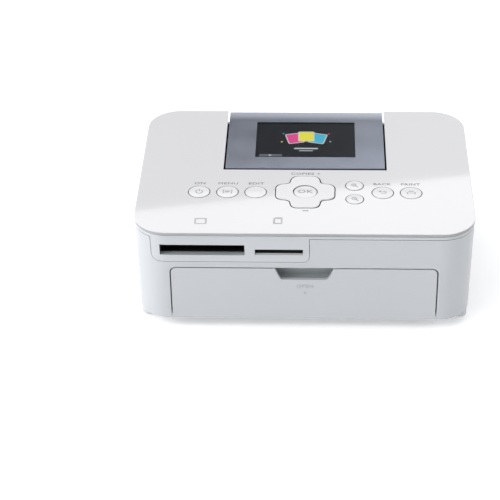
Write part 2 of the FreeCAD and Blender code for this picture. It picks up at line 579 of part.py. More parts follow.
save("idler_gear", gi.cut(cylx(IDLE[0], IDLE[1], 1.5 + 0.04, -80, -60)))
pn = gear(MOTOR[0], MOTOR[1], N_PIN, MOD_B, mate(0.1, N_BIG, IDLE, MOTOR, N_PIN), -74.3, -70.5)
pn = pn.fuse(cylx(MOTOR[0], MOTOR[1], 0.8, -79.0, -70.0)).removeSplitter()
save("motor_pinion", pn)

# feed motor, ribbon motor and their bracket
fm = cylx(MOTOR[0], MOTOR[1], 8.6, -85.2, -76.2).fuse(cylx(MOTOR[0], MOTOR[1], 2.4, -76.3, -75.4)).removeSplitter()
save("feed_motor", fm.cut(cylx(MOTOR[0], MOTOR[1], 0.9, -79.4, -70)))
rm = cylx(SPOOL_TAKE[0], SPOOL_TAKE[1], 7.4, -84.6, -73.0).fuse(cylx(SPOOL_TAKE[0], SPOOL_TAKE[1], 2.4, -73.1, -71.9)).removeSplitter()
save("ribbon_motor", rm.cut(cylx(SPOOL_TAKE[0], SPOOL_TAKE[1], 0.9, -77.0, -70)))
br = box(-76.2, MOTOR[0] - 12, MOTOR[1] - 6.0, -75.4, MOTOR[0] + 10, 47.0)
br = fuse(br, box(-76.2, MOTOR[0] - 12, 46.2, -64.6, 44.0, 47.0), box(-73.0, SPOOL_TAKE[0] - 9, 27.0, -72.2, SPOOL_TAKE[0] + 8, 47.0))
br = cut(br, cylx(MOTOR[0], MOTOR[1], 2.4, -80, -70), cylx(SPOOL_TAKE[0], SPOOL_TAKE[1], 2.4, -80, -70))
save("motor_bracket", br)
hub = cylx(SPOOL_TAKE[0], SPOOL_TAKE[1], 0.8, -76.6, -68.0).fuse(cylx(SPOOL_TAKE[0], SPOOL_TAKE[1], 3.6, -70.8, -62.6))
hub = hub.fuse(cylx(SPOOL_TAKE[0], SPOOL_TAKE[1], 1.8, -62.7, -55.0))
hub = hub.fuse(box(-61.0, SPOOL_TAKE[0] - 2.5, SPOOL_TAKE[1] - 0.6, -55.6, SPOOL_TAKE[0] + 2.5, SPOOL_TAKE[1] + 0.6)).removeSplitter()
save("ribbon_drive_hub", hub)

# ---------------------------------------------------------------- ink cassette
def spool(y, z):
    s = cylx(y, z, 4.0, -60.0, 60.0).fuse(cylx(y, z, 5.6, -52.0, 52.0)).fuse(cylx(y, z, 2.6, 60.0, 63.8))
    s = s.cut(cylx(y, z, 3.1, -61.0, -50.0)).removeSplitter()
    return s


CASE_R0, CASE_R1 = 9.0, 7.9
case = None
for y, z in (SPOOL_SUP, SPOOL_TAKE):
    t = cylx(y, z, CASE_R0, -57.0, 57.0).cut(cylx(y, z, CASE_R1, -60, 60))
    t = t.fuse(cylx(y, z, CASE_R0, -59.0, -57.0)).fuse(cylx(y, z, CASE_R0, 57.0, 59.0)).removeSplitter()
    t = t.cut(cylx(y, z, 4.08, -59.5, -56.5)).cut(cylx(y, z, 4.08, 56.5, 59.5))
    s = 1 if y < 19 else -1
    t = t.cut(box(-52.5, min(y + s * 2.6, y + s * 12), z - 12, 52.5, max(y + s * 2.6, y + s * 12), z - 4.2))
    case = t if case is None else case.fuse(t)
case = case.fuse(box(-59.0, SPOOL_SUP[0] - 1.5, 23.4, -56.4, SPOOL_TAKE[0] + 1.5, 24.5))
case = case.fuse(box(-59.0, SPOOL_SUP[0] - 1.5, 23.4, -57.0, SPOOL_SUP[0] + 2.5, 26.0)).fuse(
    box(-59.0, SPOOL_TAKE[0] - 2.5, 23.4, -57.0, SPOOL_TAKE[0] + 1.5, 26.0))
case = case.fuse(box(56.8, SPOOL_SUP[0] + 0.5, 24.6, 59.0, SPOOL_TAKE[0] - 0.5, 40.0))
case = case.fuse(box(59.0, SPOOL_SUP[0] - 5.0, 24.6, 60.4, SPOOL_TAKE[0] + 5.0, 42.2))
for y, z in (SPOOL_SUP, SPOOL_TAKE):
    case = case.cut(cylx(y, z, 4.08, 56.5, 61.5))
case = case.fuse(box(60.2, 12.0, 30.0, 80.0, 26.0, 31.6)).fuse(box(78.2, 9.0, 26.5, 80.0, 29.0, 39.5)).removeSplitter()
save("ink_cassette_case", case)
for nm, (y, z) in (("supply_spool", SPOOL_SUP), ("take_up_spool", SPOOL_TAKE)):
    s = cylx(y, z, 4.0, -58.8, 60.2).fuse(cylx(y, z, 5.8, -52.0, 52.0)).removeSplitter()
    s = s.cut(cylx(y, z, 3.1, -59.5, -50.0))
    s = s.fuse(cylx(y, z, 3.0, 60.0, 62.0)).removeSplitter()
    save(nm, s)
film = box(-50.0, 9.9, 24.62, 50.0, 28.1, 24.74)
film = fuse(film, yz([(6.2, 26.9), (9.9, 24.62), (9.9, 24.74), (6.35, 27.0)], -50.0, 50.0),
            yz([(31.8, 26.9), (28.1, 24.62), (28.1, 24.74), (31.65, 27.0)], -50.0, 50.0))
save("ink_film", film)

# ---------------------------------------------------------------- print head
hz = 26.4
ph = yz([(HEAD_Y - 3.4, hz + 0.7), (HEAD_Y - 2.7, hz + 0.1), (HEAD_Y, hz - 0.1), (HEAD_Y + 2.7, hz + 0.1), (HEAD_Y + 3.4, hz + 0.7),
         (HEAD_Y + 3.4, hz + 2.2), (HEAD_Y - 3.4, hz + 2.2)], -54.0, 54.0)
save("print_head", ph)
hs = box(-54.0, HEAD_Y - 3.6, hz + 2.2, 54.0, HEAD_Y + 3.6, hz + 5.0)
for k in range(4):
    y = HEAD_Y - 3.6 + k * 2.0
    hs = hs.fuse(box(-54.0, y, hz + 4.9, 54.0, y + 1.2, 43.4))
save("head_heat_sink", hs.removeSplitter())
hz0 = HEAD_AX[1]
arm = box(-58.4, HEAD_AX[0] - 2.6, 43.4, 58.4, HEAD_Y + 4.6, 44.4)
arm = cut(arm, box(-50, 5.0, 40, 50, 13.0, 50))
for s in (-1, 1):
    arm = fuse(arm, box(min(s * 59.8, s * 61.0), HEAD_AX[0] - 2.6, 43.0, max(s * 59.8, s * 61.0), HEAD_AX[0] + 2.6, 47.2),
               box(min(s * 58.0, s * 61.0), HEAD_AX[0] - 2.6, 43.4, max(s * 58.0, s * 61.0), HEAD_AX[0] + 2.1, 44.4))
arm = fuse(arm, box(-56.0, HEAD_Y + 3.7, 41.0, 56.0, HEAD_Y + 4.6, 44.4))
arm = cut(arm, cylx(HEAD_AX[0], hz0, 1.2 + 0.04, -65, 65))
arm = cut(arm, box(-58, HEAD_AX[0] - 1.4, 40, 58, HEAD_AX[0] + 1.4, 50))
save("head_arm", arm)
save("head_arm_shaft", cylx(HEAD_AX[0], hz0, 1.2, -65.0, 65.0))

# ---------------------------------------------------------------- ink door in the right wall
idr = shell.common(box(80, INK_Y0, INK_Z0 - 3, 95, INK_Y1, INK_Z1))
low = box(80, -60, 0, 95, 60, INK_AX_Z)
keep = cyly(INK_AX_X, INK_AX_Z, 1.98, -60, 60)
idr = idr.cut(low.cut(keep))
rim = cyly(INK_AX_X, INK_AX_Z, 1.98, INK_Y0, INK_Y1).cut(box(80, -60, INK_AX_Z, 95, 60, 30))
rim = cyly(INK_AX_X, INK_AX_Z, 1.98, INK_Y0, INK_Y1)
idr = fuse(idr, rim)
idr = idr.common(outer_r)
idr = cut(idr, cyly(INK_AX_X, INK_AX_Z, PIN_R + RUN, INK_Y0 - 1, INK_Y0 + 4.2), cyly(INK_AX_X, INK_AX_Z, PIN_R + RUN, INK_Y1 - 4.2, INK_Y1 + 1))
idr = fuse(idr, box(85.2, 13.0, 43.4, 86.9, 23.0, 45.2))
save("ink_door", idr)

# ---------------------------------------------------------------- cooling fan behind the left vents
FY, FZ = -19.6, 20.5
ff = box(-84.8, FY - 12.5, FZ - 12.5, -77.0, FY + 12.5, FZ + 12.5).cut(cylx(FY, FZ, 11.6, -90, -70))
ff = ff.fuse(box(-78.2, FY - 12.2, FZ - 0.8, -77.0, FY + 12.2, FZ + 0.8)).fuse(box(-78.2, FY - 0.8, FZ - 12.2, -77.0, FY + 0.8, FZ + 12.2))
ff = ff.fuse(cylx(FY, FZ, 4.6, -78.2, -77.0)).fuse(cylx(FY, FZ, 0.9, -82.0, -77.5)).removeSplitter()
save("fan_frame", ff)
fr = cylx(FY, FZ, 4.6, -84.0, -78.8)
for k in range(7):
    a = 2 * math.pi * k / 7
    bl = box(-83.6, -0.5, 4.2, -79.4, 0.5, 11.0)
    bl.rotate(V(-81.5, 0, 0), V(0, 0, 1), 32)
    bl.rotate(V(0, 0, 0), V(1, 0, 0), math.degrees(a))
    bl.translate(V(0, FY, FZ))
    fr = fr.fuse(bl)
fr = fr.common(cylx(FY, FZ, 11.1, -84.2, -78.7)).removeSplitter()
fr = fr.cut(cylx(FY, FZ, 0.94, -82.1, -70))
save("fan_rotor", fr)

os.makedirs("parts", exist_ok=True)
for name, shape in OUT.items():
    shape.exportStep("parts/%s.step" % name)
print("nodes", len(OUT))
bb = None
for s in OUT.values():
    bb = s.BoundBox if bb is None else bb.united(s.BoundBox)
print("box", bb)
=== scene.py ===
import bpy, bmesh, json, math
from mathutils import Matrix, Vector


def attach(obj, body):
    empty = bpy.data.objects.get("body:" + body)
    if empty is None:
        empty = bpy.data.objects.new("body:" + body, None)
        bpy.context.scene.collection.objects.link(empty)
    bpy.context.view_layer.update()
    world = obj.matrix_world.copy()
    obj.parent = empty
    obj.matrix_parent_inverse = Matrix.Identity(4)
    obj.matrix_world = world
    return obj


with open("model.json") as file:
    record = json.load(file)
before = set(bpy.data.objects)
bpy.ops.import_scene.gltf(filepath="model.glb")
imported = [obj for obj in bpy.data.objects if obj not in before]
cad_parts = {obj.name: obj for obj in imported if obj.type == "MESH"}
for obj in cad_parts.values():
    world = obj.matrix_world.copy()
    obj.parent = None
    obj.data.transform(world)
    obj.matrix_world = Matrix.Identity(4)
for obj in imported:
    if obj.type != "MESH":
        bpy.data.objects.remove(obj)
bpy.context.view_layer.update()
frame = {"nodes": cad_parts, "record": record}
N = frame["nodes"]
MM = 0.001

# ------------------------------------------------------------------ camera
scn = bpy.context.scene
cam_d = bpy.data.cameras.new("cam")
cam = bpy.data.objects.new("cam", cam_d)
scn.collection.objects.link(cam)
R = Vector((0.99922348, 0.0361771, -0.0156091))
U = Vector((-0.00741317, 0.56170564, 0.82730395))
F = Vector((-0.03869717, 0.82654582, -0.56153766))
m = Matrix((R, U, -F)).transposed().to_4x4()
m.translation = Vector((7.130, -807.771, 555.647)) * MM
cam.matrix_world = m
cam_d.sensor_fit = "HORIZONTAL"
cam_d.sensor_width = 36.0
cam_d.lens = 1743.68 / 500.0 * 36.0
cam_d.clip_start, cam_d.clip_end = 0.01, 50.0
scn.camera = cam
scn.view_settings.view_transform = "Standard"
scn.view_settings.look = "None"
scn.view_settings.exposure = 0.0


# ------------------------------------------------------------------ materials
class G:
    """A small helper for one material's nodes."""

    def __init__(self, name):
        self.mat = bpy.data.materials.new(name)
        self.mat.use_nodes = True
        self.t = self.mat.node_tree
        self.t.nodes.clear()
        self.out = self.t.nodes.new("ShaderNodeOutputMaterial")
        self.p = self.t.nodes.new("ShaderNodeBsdfPrincipled")
        self.t.links.new(self.p.outputs[0], self.out.inputs[0])
        self.co = self.t.nodes.new("ShaderNodeTexCoord").outputs["Object"]

    def n(self, kind, **kw):
        x = self.t.nodes.new(kind)
        for k, v in kw.items():
            setattr(x, k, v)
        return x

    def l(self, a, b):
        self.t.links.new(a, b)

    def noise(self, scale, detail=3.0, rough=0.5, stretch=None):
        x = self.n("ShaderNodeTexNoise")
        x.inputs["Scale"].default_value = scale
        x.inputs["Detail"].default_value = detail
        x.inputs["Roughness"].default_value = rough
        if stretch:
            mp = self.n("ShaderNodeMapping")
            mp.inputs["Scale"].default_value = stretch
            self.l(self.co, mp.inputs[0])
            self.l(mp.outputs[0], x.inputs[0])
        else:
            self.l(self.co, x.inputs[0])
        return x.outputs[0]

    def ramp(self, fac, a, b, ca, cb):
        r = self.n("ShaderNodeValToRGB")
        r.color_ramp.elements[0].position = a
        r.color_ramp.elements[1].position = b
        r.color_ramp.elements[0].color = (*ca, 1)
        r.color_ramp.elements[1].color = (*cb, 1)
        self.l(fac, r.inputs[0])
        return r.outputs[0]

    def rng(self, fac, a, b, c, d):
        r = self.n("ShaderNodeMapRange")
        for i, v in enumerate((a, b, c, d)):
            r.inputs[i + 1].default_value = v
        self.l(fac, r.inputs[0])
        return r.outputs[0]

    def bump(self, h, strength, dist):
        b = self.n("ShaderNodeBump")
        b.inputs["Strength"].default_value = strength
        b.inputs["Distance"].default_value = dist
        self.l(h, b.inputs["Height"])
        self.l(b.outputs[0], self.p.inputs["Normal"])
        return b


def shade(c, k):
    return tuple(max(0.0, min(1.0, x * k)) for x in c)


def plastic(name, col, rough=0.4, var=0.02, grain=0.0, grain_mm=0.35, coat=0.0, rvar=0.03, spec=0.5, dark_above=None):
    g = G(name)
    big = g.noise(38.0, 3.0, 0.55)
    base = g.ramp(big, 0.3, 0.7, shade(col, 1 - var), shade(col, 1 + var))
    if dark_above:      # the top edge in the seam, shaded by the plate over it
        sx = g.n("ShaderNodeSeparateXYZ")
        g.l(g.co, sx.inputs[0])
        mx = g.n("ShaderNodeMix", data_type="RGBA")
        g.l(g.rng(sx.outputs["Z"], (dark_above - 0.03) * MM, dark_above * MM, 0.0, 1.0), mx.inputs["Factor"])
        g.l(base, mx.inputs["A"])
        g.l(g.ramp(big, 0.3, 0.7, shade(col, 0.12), shade(col, 0.14)), mx.inputs["B"])
        base = mx.outputs["Result"]
    g.l(base, g.p.inputs["Base Color"])
    fine = g.noise(420.0, 2.0, 0.5)
    g.l(g.rng(fine, 0.3, 0.7, rough - rvar, rough + rvar), g.p.inputs["Roughness"])
    g.p.inputs["Specular IOR Level"].default_value = spec
    if coat:
        g.p.inputs["Coat Weight"].default_value = coat
        g.p.inputs["Coat Roughness"].default_value = 0.04
    if grain:
        g.bump(g.noise(1.0 / (grain_mm * MM), 2.0, 0.6), grain, 0.00003)
    return g.mat


def metal(name, col, rough=0.3, brush=(1.0, 40.0, 40.0), var=0.06, metallic=1.0, strength=0.15):
    g = G(name)
    f = g.noise(260.0, 3.0, 0.6, brush)
    g.l(g.ramp(f, 0.3, 0.7, shade(col, 1 - var), shade(col, 1 + var)), g.p.inputs["Base Color"])
    g.l(g.rng(f, 0.3, 0.7, rough - 0.06, rough + 0.06), g.p.inputs["Roughness"])
    g.p.inputs["Metallic"].default_value = metallic
    g.bump(f, strength, 0.00002)
    return g.mat


def painted_side_shade(name, col, low, z0, z1, rough, rvar=0.01, var=0.004):
    """Painted shade: low is a darker colour below z0 mm that stands in for the shade and dim reflection on the side
    faces; col is the colour above z1.
    """
    g = G(name)
    sx = g.n("ShaderNodeSeparateXYZ")
    g.l(g.co, sx.inputs[0])
    f = g.noise(38.0, 3.0, 0.55)
    top = g.ramp(f, 0.3, 0.7, shade(col, 1 - var), shade(col, 1 + var))
    base = g.ramp(f, 0.3, 0.7, shade(low, 1 - var), shade(low, 1 + var))
    mx = g.n("ShaderNodeMix", data_type="RGBA")
    g.l(g.rng(sx.outputs["Z"], z0 * MM, z1 * MM, 0.0, 1.0), mx.inputs["Factor"])
    g.l(base, mx.inputs["A"])
    g.l(top, mx.inputs["B"])
    g.l(mx.outputs["Result"], g.p.inputs["Base Color"])
    g.l(g.rng(g.noise(420.0, 2.0, 0.5), 0.3, 0.7, rough - rvar, rough + rvar), g.p.inputs["Roughness"])
    return g.mat


M = {}
# painted shade: the side faces of the top plate and the keys are coloured darker below z0, in place of their shade and
# the plate's dim reflection
M["gloss_white"] = painted_side_shade("gloss_white", (0.690, 0.690, 0.711), (0.36, 0.365, 0.38), 59.98, 60.10, 0.035)
M["key_white"] = painted_side_shade("key_white", (0.715, 0.715, 0.73), (0.10, 0.10, 0.09), 60.02, 60.14, 0.16)
M["ok_white"] = painted_side_shade("ok_white", (0.715, 0.715, 0.73), (0.20, 0.20, 0.19), 60.17, 60.22, 0.16)
M["casing_grey"] = plastic("casing_grey", (0.522, 0.541, 0.568), 0.34, 0.008, grain=0.10, rvar=0.03)
M["casing_light"] = plastic("casing_light", (0.538, 0.557, 0.583), 0.34, 0.008, grain=0.08, rvar=0.03)
M["casing_wall"] = plastic("casing_wall", (0.522, 0.541, 0.568), 0.34, 0.008, grain=0.10, rvar=0.03, dark_above=56.38)
M["base_grey"] = plastic("base_grey", (0.56, 0.58, 0.60), 0.42, 0.02, grain=0.3, grain_mm=0.6)
M["rubber_dark"] = plastic("rubber_dark", (0.035, 0.035, 0.038), 0.75, 0.10, grain=0.5, grain_mm=0.3)
M["steel"] = metal("steel", (0.62, 0.62, 0.63), 0.28)
M["zinc_steel"] = metal("zinc_steel", (0.60, 0.62, 0.66), 0.36, (8.0, 8.0, 8.0), 0.10)
M["black_plastic"] = plastic("black_plastic", (0.018, 0.018, 0.020), 0.5, 0.15, grain=0.35)
M["socket_black"] = plastic("socket_black", (0.006, 0.006, 0.007), 0.62, 0.15, grain=0.2, spec=0.25)
M["inner_grey"] = plastic("inner_grey", (0.42, 0.45, 0.46), 0.5, 0.02, grain=0.25)
M["mat_rubber"] = plastic("mat_rubber", (0.42, 0.43, 0.44), 0.7, 0.05, grain=0.4)
M["board_green"] = plastic("board_green", (0.02, 0.16, 0.07), 0.35, 0.12, grain=0.2, grain_mm=0.9, coat=0.3)
M["bronze"] = metal("bronze", (0.66, 0.45, 0.20), 0.38, (6.0, 6.0, 6.0), 0.12)
M["panel_dark"] = plastic("panel_dark", (0.10, 0.11, 0.125), 0.45, 0.05, grain=0.3)
M["cassette_grey"] = plastic("cassette_grey", (0.30, 0.32, 0.35), 0.42, 0.04, grain=0.3)
M["cassette_black"] = plastic("cassette_black", (0.025, 0.025, 0.028), 0.45, 0.12, grain=0.3)
M["gear_white"] = plastic("gear_white", (0.78, 0.78, 0.73), 0.45, 0.03, grain=0.15)
M["head_ceramic"] = plastic("head_ceramic", (0.50, 0.48, 0.43), 0.18, 0.05)
M["sink_aluminium"] = metal("sink_aluminium", (0.72, 0.73, 0.74), 0.32, (1.0, 30.0, 30.0), 0.08)
M["print_grey"] = plastic("print_grey", (0.20, 0.205, 0.22), 0.5, 0.06)
M["print_deep"] = plastic("print_deep", (0.11, 0.113, 0.12), 0.5, 0.06)
M["print_light"] = plastic("print_light", (0.30, 0.30, 0.33), 0.5, 0.05)
M["slot_floor"] = plastic("slot_floor", (0.42, 0.44, 0.45), 0.5, 0.04, grain=0.2)
M["emboss"] = plastic("emboss", (0.42, 0.44, 0.465), 0.3, 0.01)
M["mark_pale"] = plastic("mark_pale", (0.43, 0.43, 0.45), 0.5, 0.04)
M["pad_mark"] = plastic("pad_mark", (0.66, 0.66, 0.67), 0.4, 0.02)
M["contact_gold"] = metal("contact_gold", (0.85, 0.62, 0.25), 0.25, (4.0, 4.0, 4.0), 0.05)


def panel_material():
    g = G("panel_gunmetal")
    f = g.noise(900.0, 2.0, 0.6)
    g.l(g.ramp(f, 0.3, 0.7, (0.190, 0.211, 0.262), (0.222, 0.243, 0.292)), g.p.inputs["Base Color"])
    g.l(g.rng(g.noise(60.0, 3.0), 0.3, 0.7, 0.14, 0.18), g.p.inputs["Roughness"])
    g.p.inputs["Metallic"].default_value = 0.75
    g.bump(f, 0.05, 0.00001)
    return g.mat


def window_material():
    g = G("clear_window")
    f = g.noise(50.0, 2.0)
    g.l(g.ramp(f, 0.3, 0.7, (0.72, 0.74, 0.77), (0.76, 0.77, 0.79)), g.p.inputs["Base Color"])
    g.l(g.rng(f, 0.3, 0.7, 0.02, 0.045), g.p.inputs["Roughness"])
    g.p.inputs["Transmission Weight"].default_value = 1.0
    g.p.inputs["IOR"].default_value = 1.14
    return g.mat


def display_material():
    g = G("display_dark")
    f = g.noise(1600.0, 1.0)
    g.l(g.ramp(f, 0.35, 0.65, (0.006, 0.008, 0.012), (0.008, 0.010, 0.015)), g.p.inputs["Base Color"])
    g.l(g.rng(f, 0.3, 0.7, 0.32, 0.4), g.p.inputs["Roughness"])
    g.l(g.ramp(f, 0.35, 0.65, (0.020, 0.025, 0.035), (0.024, 0.029, 0.040)), g.p.inputs["Emission Color"])
    g.p.inputs["Emission Strength"].default_value = 0.15
    g.p.inputs["Specular IOR Level"].default_value = 0.04
    return g.mat


def glow(name, col, strength=1.0, var=0.04):
    g = G(name)
    f = g.noise(2200.0, 1.0)
    g.l(g.ramp(f, 0.35, 0.65, shade(col, 0.10), shade(col, 0.14)), g.p.inputs["Base Color"])
    g.l(g.ramp(f, 0.35, 0.65, shade(col, 1 - var), shade(col, 1 + var)), g.p.inputs["Emission Color"])
    g.l(g.rng(f, 0.3, 0.7, 0.45, 0.55), g.p.inputs["Roughness"])
    g.p.inputs["Emission Strength"].default_value = strength
    return g.mat


def film_material():
    g = G("film_dark")
    f = g.noise(40.0, 2.0, 0.5, (1.0, 6.0, 1.0))
    g.l(g.ramp(f, 0.3, 0.7, (0.05, 0.02, 0.045), (0.07, 0.03, 0.06)), g.p.inputs["Base Color"])
    g.l(g.rng(f, 0.3, 0.7, 0.12, 0.2), g.p.inputs["Roughness"])
    return g.mat


M["panel_gunmetal"] = panel_material()
M["clear_window"] = window_material()
M["display_dark"] = display_material()
M["film_dark"] = film_material()
M["glow_yellow"] = glow("glow_yellow", (0.86, 0.80, 0.02), 1.0)
M["glow_cyan"] = glow("glow_cyan", (0.03, 0.48, 0.66), 1.0)
M["glow_magenta"] = glow("glow_magenta", (0.78, 0.03, 0.25), 1.0)
M["glow_white"] = glow("glow_white", (0.62, 0.64, 0.66), 1.0)
M["glow_grey"] = glow("glow_grey", (0.085, 0.10, 0.115), 1.0)


def assign(o, mat):
    o.data.materials.clear()
    o.data.materials.append(mat)


SLOT = {s["node"]: s["material_slot"] for s in frame["record"]["subparts"]}
for name, o in N.items():
    s = SLOT[name]
    if name.endswith("_key") or name == "direction_pad":
        s = "ok_white" if name == "ok_key" else "key_white"
    if name in ("wide_card_socket", "small_card_socket"):
        s = "socket_black"
    if name == "side_casing":
        s = "casing_wall"
    assign(o, M[s])


# ------------------------------------------------------------------ building helpers
def link(name, me, body, mat, smooth=None):
    o = bpy.data.objects.new(name, me)
    scn.collection.objects.link(o)
    assign(o, mat)
    if smooth is not None:
        for p in me.polygons:
            p.use_smooth = smooth
    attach(o, body)
    return o


def curve_mesh(cu, name):
    tmp = bpy.data.objects.new("tmp_curve", cu)
    scn.collection.objects.link(tmp)
    dg = bpy.context.evaluated_depsgraph_get()
    me = bpy.data.meshes.new_from_object(tmp.evaluated_get(dg))
    me.name = name
    bpy.data.objects.remove(tmp)
    bpy.data.curves.remove(cu)
    bm = bmesh.new()
    bm.from_mesh(me)
    bmesh.ops.remove_doubles(bm, verts=bm.verts, dist=1e-7)
    bmesh.ops.recalc_face_normals(bm, faces=bm.faces)
    bm.to_mesh(me)
    bm.free()
    return me


def loops_mesh(name, loops, thick):
    """Flat outlines in millimetres (list of closed point lists; inner ones are holes), thick in mm, from z 0 up."""
    cu = bpy.data.curves.new(name, "CURVE")
    cu.dimensions = "2D"
    cu.fill_mode = "BOTH"
    cu.extrude = thick * MM / 2
    for pts in loops:
        sp = cu.splines.new("POLY")
        sp.points.add(len(pts) - 1)
        for i, (x, y) in enumerate(pts):
            sp.points[i].co = (x * MM, y * MM, 0, 1)
        sp.use_cyclic_u = True
    me = curve_mesh(cu, name)
    for v in me.vertices:
        v.co.z += thick * MM / 2
    return me


def text_mesh(name, text, size, thick, bold=0.0, spacing=1.0, width=1.0):
    cu = bpy.data.curves.new(name, "FONT")
    cu.body = text
    cu.size = size * MM
    cu.align_x = "CENTER"
    cu.align_y = "CENTER"
    cu.extrude = thick * MM / 2
    cu.offset = bold * MM
    cu.space_character = spacing
    cu.resolution_u = 3
    me = curve_mesh(cu, name)
    for v in me.vertices:
        v.co.x *= width
        v.co.z += thick * MM / 2
    return me


DOME_R = 60.0


def place(me, x, y, z, dome=None):
    """Moves a flat mesh to x, y, z in mm; dome bends it down over a key's rounded top around its middle."""
    for v in me.vertices:
        if dome:
            dx, dy = v.co.x + x * MM - dome[0] * MM, v.co.y + y * MM - dome[1] * MM
            v.co.z -= (dx * dx + dy * dy) / (2 * DOME_R * MM)
        v.co.x += x * MM
        v.co.y += y * MM
        v.co.z += z * MM
    return me


def arc(cx, cy, r, a0, a1, n=24):
    return [(cx + r * math.cos(math.radians(a0 + (a1 - a0) * i / n)), cy + r * math.sin(math.radians(a0 + (a1 - a0) * i / n))) for i in range(n + 1)]


def circle(cx, cy, r, n=32):
    return arc(cx, cy, r, 0, 360, n)[:-1]


def band(cx, cy, r, w, a0, a1, n=24):
    return arc(cx, cy, r + w / 2, a0, a1, n) + arc(cx, cy, r - w / 2, a1, a0, n)


def rrect(cx, cy, hx, hy, r, n=5):
    p = []
    for sx, sy, a in ((1, -1, -90), (1, 1, 0), (-1, 1, 90), (-1, -1, 180)):
        p += arc(cx + sx * (hx - r), cy + sy * (hy - r), r, a, a + 90, n)
    return p


def bar(x0, y0, x1, y1, w):
    dx, dy = x1 - x0, y1 - y0
    L = math.hypot(dx, dy)
    nx, ny = -dy / L * w / 2, dx / L * w / 2
    return [(x0 + nx, y0 + ny), (x0 - nx, y0 - ny), (x1 - nx, y1 - ny), (x1 + nx, y1 + ny)]


Z_TOP, Z_KEY = 60.2, 60.5
INK = 0.018


def decal(name, shapes, x, y, z, body, mat, dome=None, thick=INK):
    """Separate printed shapes, each a list of loops, joined in one piece."""
    parts = [place(loops_mesh(name, loops, thick), x, y, z, dome) for loops in shapes]
    bm = bmesh.new()
    for me in parts:
        bm.from_mesh(me)
    out = bpy.data.meshes.new(name)
    bm.to_mesh(out)
    bm.free()
    return link(name, out, body, mat)


def label(name, text, size, x, y, z=Z_TOP, body="chassis", mat="print_grey", dome=None, thick=INK, **kw):
    return link(name, place(text_mesh(name, text, size, thick, **kw), x, y, z, dome), body, M[mat])


# ------------------------------------------------------------------ printed words above the keys
KY = -15.1
label("word_on", "ON", 2.9, -56.1, KY, width=1.30, spacing=1.08, bold=0.06)
label("word_menu", "MENU", 2.9, -41.0, KY, mat="print_deep", width=1.30, spacing=1.08)
label("word_edit", "EDIT", 2.9, -25.9, KY, width=1.30, spacing=1.10, bold=0.06)
label("word_back", "BACK", 2.9, 41.3, KY, width=1.22, spacing=1.06, bold=0.06)
label("word_print", "PRINT", 2.9, 56.4, KY, width=1.25, spacing=1.06, bold=0.06)
label("word_copies", "COPIES +", 2.8, 0.5, -4.9, width=1.30, spacing=1.08, bold=0.06)
decal("mark_minus", [[bar(-0.9, -41.6, 2.2, -41.6, 0.7)]], 0, 0, Z_TOP, "chassis", M["print_grey"])

# ------------------------------------------------------------------ symbols on the keys
z = Z_KEY + 0.004


def on_key(name, shapes, key, c, mat="print_grey"):
    return decal(name, shapes, c[0], c[1], z, key + "_body", M[mat], dome=c)


on_key("sign_power", [[band(0, -0.2, 1.75, 0.42, 125, 415)], [bar(0, 0.1, 0, 2.2, 0.42)]], "power_key", (-56.1, -23.6))
on_key("sign_menu", [[rrect(0, 0, 2.5, 1.75, 0.35), rrect(0, 0, 2.1, 1.35, 0.2)], [bar(-1.4, 0.55, 1.4, 0.55, 0.36)],
                     [bar(-1.4, -0.1, 1.4, -0.1, 0.36)], [bar(-1.4, -0.75, 0.6, -0.75, 0.36)]], "menu_key", (-41.0, -23.6))
for nm, c, plus in (("zoom_in", (26.6, -16.7), True), ("zoom_out", (26.6, -30.1), False)):
    sh = [[circle(-0.35, 0.25, 1.35), circle(-0.35, 0.25, 1.0)], [bar(0.6, -0.7, 1.9, -1.75, 0.5)], [bar(-1.0, 0.25, 0.3, 0.25, 0.3)]]
    if plus:
        sh.append([bar(-0.35, -0.38, -0.35, 0.88, 0.3)])
    on_key("sign_" + nm, sh, nm + "_key", c)
on_key("sign_back", [[[(-2.3, 0.9), (-1.0, 1.75), (-1.0, 1.12), (0.9, 1.12)] + arc(0.9, 0.0, 1.12, 90, -90, 12)
                      + [(-0.9, -1.12), (-0.9, -0.72), (0.9, -0.72)] + arc(0.9, 0.0, 0.72, -90, 90, 12) + [(-1.0, 0.72), (-1.0, 0.05)]]],
       "back_key", (41.5, -23.6))
on_key("sign_print", [[rrect(0, -0.55, 2.3, 0.95, 0.35), rrect(0, -0.55, 1.95, 0.6, 0.2)], [[(-1.3, 0.55), (1.3, 0.55), (1.1, 1.6), (-1.1, 1.6)],
                       [(-0.95, 0.85), (-0.8, 1.3), (0.8, 1.3), (0.95, 0.85)]], [bar(-1.1, -0.55, 1.1, -0.55, 0.3)]], "print_key", (56.5, -23.6))
PADC = (0.4, -23.3)
label("word_ok", "OK", 4.3, PADC[0], PADC[1] + 0.05, z, "ok_key_body", "print_light", dome=PADC, width=1.25, bold=0.09, spacing=1.08)


def ring_mesh(name, cx, cy, r, w, h, zb, seg=72):
    """Low round bead."""
    bm = bmesh.new()
    prof = [(-w / 2, 0), (-w * 0.36, h * 0.6), (-w * 0.15, h * 0.95), (w * 0.15, h * 0.95), (w * 0.36, h * 0.6), (w / 2, 0), (w * 0.3, -0.05), (-w * 0.3, -0.05)]
    rows = []
    for i in range(seg):
        a = 2 * math.pi * i / seg
        rows.append([bm.verts.new(((cx + (r + dr) * math.cos(a)) * MM, (cy + (r + dr) * math.sin(a)) * MM, (zb + dz) * MM)) for dr, dz in prof])
    k = len(prof)
    for i in range(seg):
        a, b = rows[i], rows[(i + 1) % seg]
        for j in range(k):
            bm.faces.new((a[j], b[j], b[(j + 1) % k], a[(j + 1) % k]))
    bmesh.ops.recalc_face_normals(bm, faces=bm.faces)
    me = bpy.data.meshes.new(name)
    bm.to_mesh(me)
    bm.free()
    return me


